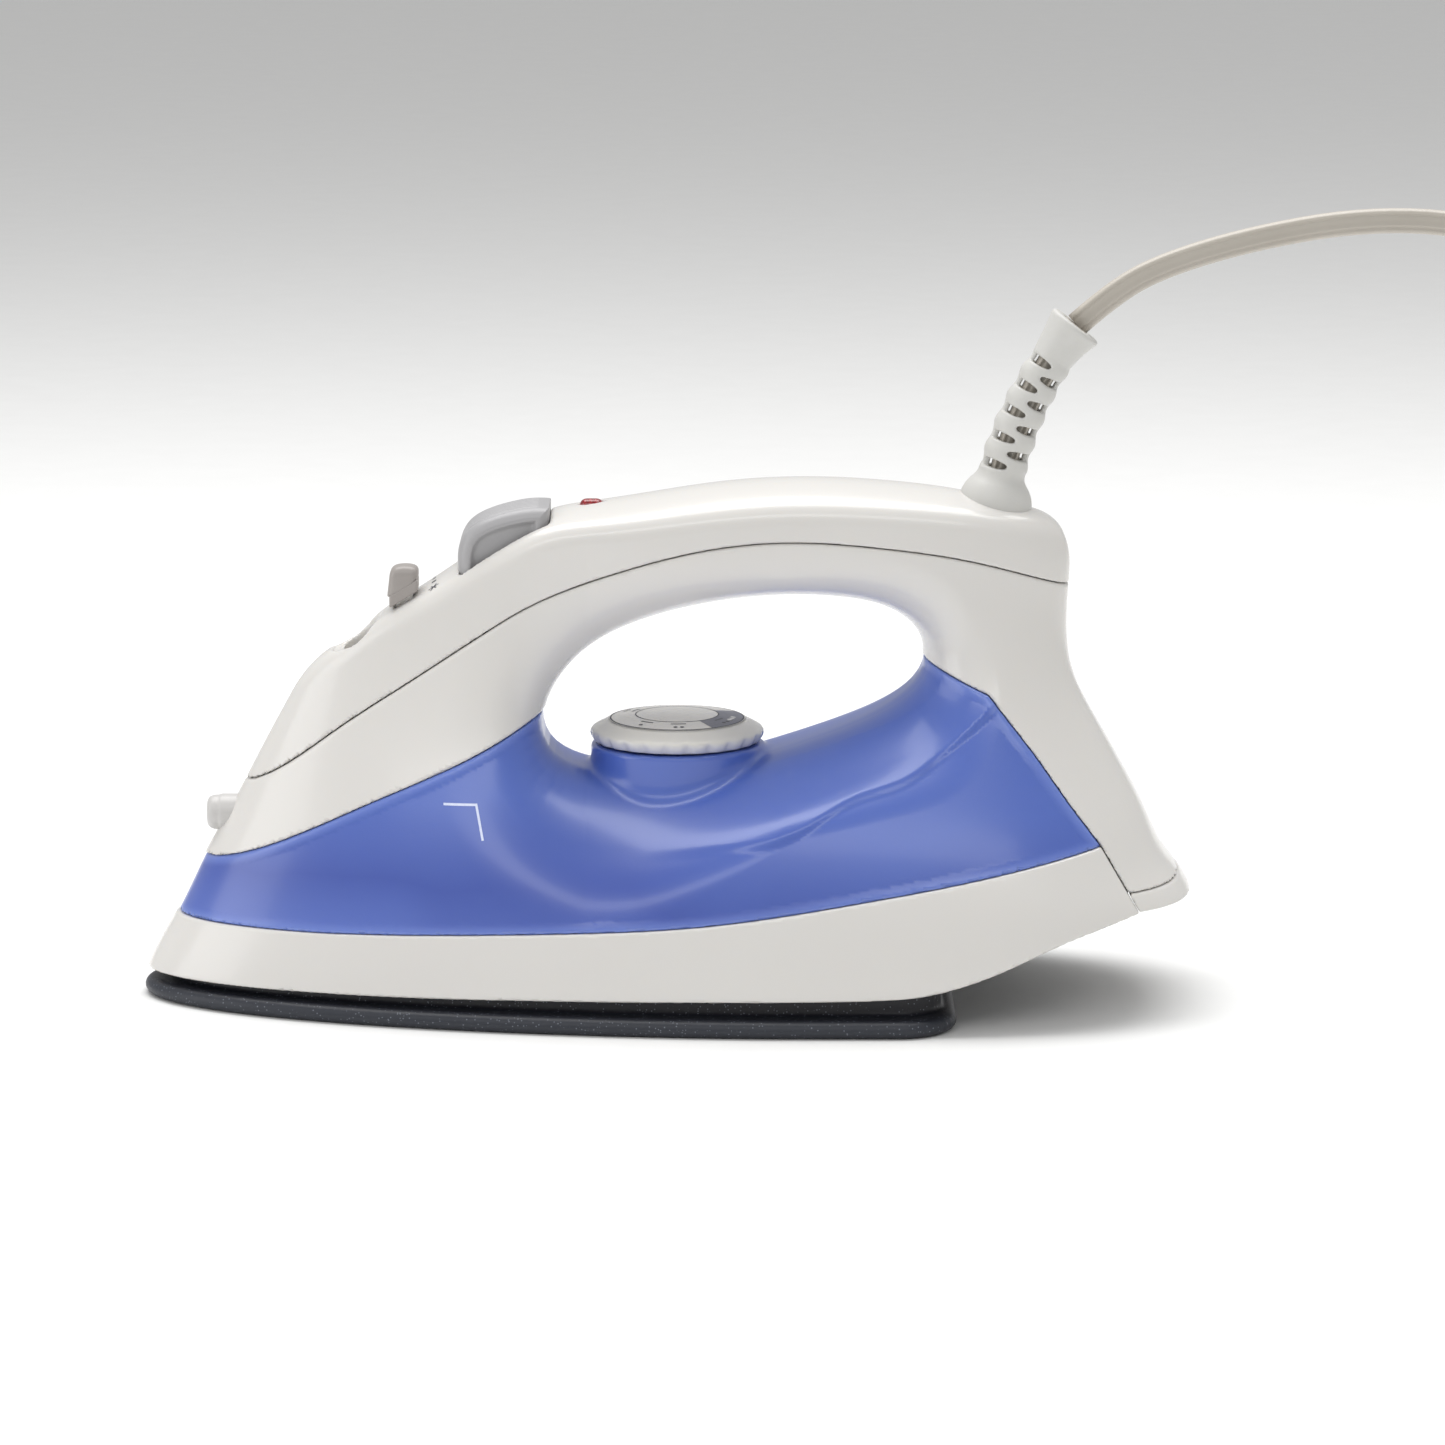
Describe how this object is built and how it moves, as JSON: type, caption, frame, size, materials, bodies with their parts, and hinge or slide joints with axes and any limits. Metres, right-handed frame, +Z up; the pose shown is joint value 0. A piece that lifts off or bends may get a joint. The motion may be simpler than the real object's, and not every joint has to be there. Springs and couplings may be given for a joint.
{
  "type": "clothes iron",
  "caption": "Household steam iron with a water tank, a thermostat dial, a spray button, a steam lever and a mains cord with its plug.",
  "frame": {"origin": "on the floor under the middle of the iron's length and width, the iron standing on its soleplate", "axes": "+Z up, +X from the nose to the heel, -Y towards the iron's left side"},
  "size_m": [0.5106, 0.11, 0.2039],
  "materials": {
    "soleplate": "dark non-stick coating on cast aluminium",
    "heating_element": "oxidised steel sheath",
    "element_pins": "plated steel",
    "chamber_cover": "stamped sheet",
    "chamber_screws": "zinc plated",
    "skirt": "moulded, glossy",
    "under_cover": "moulded, matt",
    "spacers": "heat-proof phenolic",
    "spacer_screws": "zinc plated",
    "tank_floor": "moulded, translucent",
    "tank_shell": "moulded, translucent blue",
    "handle_body": "moulded, glossy",
    "handle_cover": "moulded, glossy",
    "heel_cover": "moulded, glossy",
    "heel_screws": "zinc plated",
    "dial": "moulded, milky",
    "dial_face": "printed disc",
    "thermostat_shaft": "turned steel",
    "thermostat": "ceramic stack",
    "contact_leaves": "spring strip",
    "thermal_cutout": "ceramic tube",
    "steam_lever": "moulded, satin",
    "steam_rod": "drawn steel",
    "valve_seat": "silicone",
    "spray_button": "moulded, satin",
    "pump_piston": "moulded acetal",
    "pump_spring": "spring wire",
    "pump_barrel": "moulded polypropylene",
    "suction_tube": "silicone",
    "spray_hose": "silicone",
    "spray_nozzle": "moulded, satin",
    "nozzle_tip": "moulded",
    "fill_funnel": "moulded",
    "lamp_lens": "red lens",
    "pilot_lamp": "neon lamp",
    "cord_guard": "soft vinyl",
    "terminal_block": "moulded",
    "inner_lead": "vinyl",
    "cord_clamp": "moulded nylon",
    "element_leads": "glass sleeved wire",
    "power_cord": "vinyl",
    "cord_coil": "vinyl",
    "cord_tail": "vinyl",
    "plug_body": "vinyl",
    "plug_blades": "nickel plated brass"
  },
  "bodies": {
    "iron": {"soleplate": "soleplate", "heating_element": "heating_element", "element_pins": "element_pins", "chamber_cover": "chamber_cover", "chamber_screws": "chamber_screws", "skirt": "skirt", "under_cover": "under_cover", "spacers": "spacers", "spacer_screws": "spacer_screws", "tank_floor": "tank_floor", "tank_shell": "tank_shell", "handle_body": "handle_body", "handle_cover": "handle_cover", "heel_cover": "heel_cover", "heel_screws": "heel_screws", "thermostat": "thermostat", "contact_leaves": "contact_leaves", "thermal_cutout": "thermal_cutout", "valve_seat": "valve_seat", "pump_spring": "pump_spring", "pump_barrel": "pump_barrel", "suction_tube": "suction_tube", "spray_hose": "spray_hose", "spray_nozzle": "spray_nozzle", "nozzle_tip": "nozzle_tip", "fill_funnel": "fill_funnel", "lamp_lens": "lamp_lens", "pilot_lamp": "pilot_lamp", "cord_guard": "cord_guard", "terminal_block": "terminal_block", "inner_lead": "inner_lead", "cord_clamp": "cord_clamp", "element_leads": "element_leads", "power_cord": "power_cord", "cord_coil": "cord_coil", "cord_tail": "cord_tail", "plug_body": "plug_body", "plug_blades": "plug_blades"},
    "dial": {"dial": "dial", "dial_face": "dial_face", "thermostat_shaft": "thermostat_shaft"},
    "steam_lever": {"steam_lever": "steam_lever"},
    "steam_rod": {"steam_rod": "steam_rod"},
    "spray_button": {"spray_button": "spray_button", "pump_piston": "pump_piston"}
  },
  "joints": [
    {"name": "dial_turn", "type": "hinge", "parent": "iron", "child": "dial", "pos_m": [0.0028, 0, 0.07], "axis": [0, 0, 1], "range_deg": [0, 270]},
    {"name": "lever_slide", "type": "slide", "parent": "iron", "child": "steam_lever", "axis": [0, 1, 0], "range_m": [0, 0.008]},
    {"name": "valve_lift", "type": "slide", "parent": "iron", "child": "steam_rod", "axis": [0, 0, 1], "range_m": [0, 0.003]},
    {"name": "button_press", "type": "slide", "parent": "iron", "child": "spray_button", "axis": [0, 0, -1], "range_m": [0, 0.004], "stiffness_N_per_m": 400, "springref_m": -0.003, "deforming": ["pump_spring"]}
  ],
  "couplings": [
    {"joint": "valve_lift", "follows": "lever_slide", "ratio": 0.375}
  ]
}
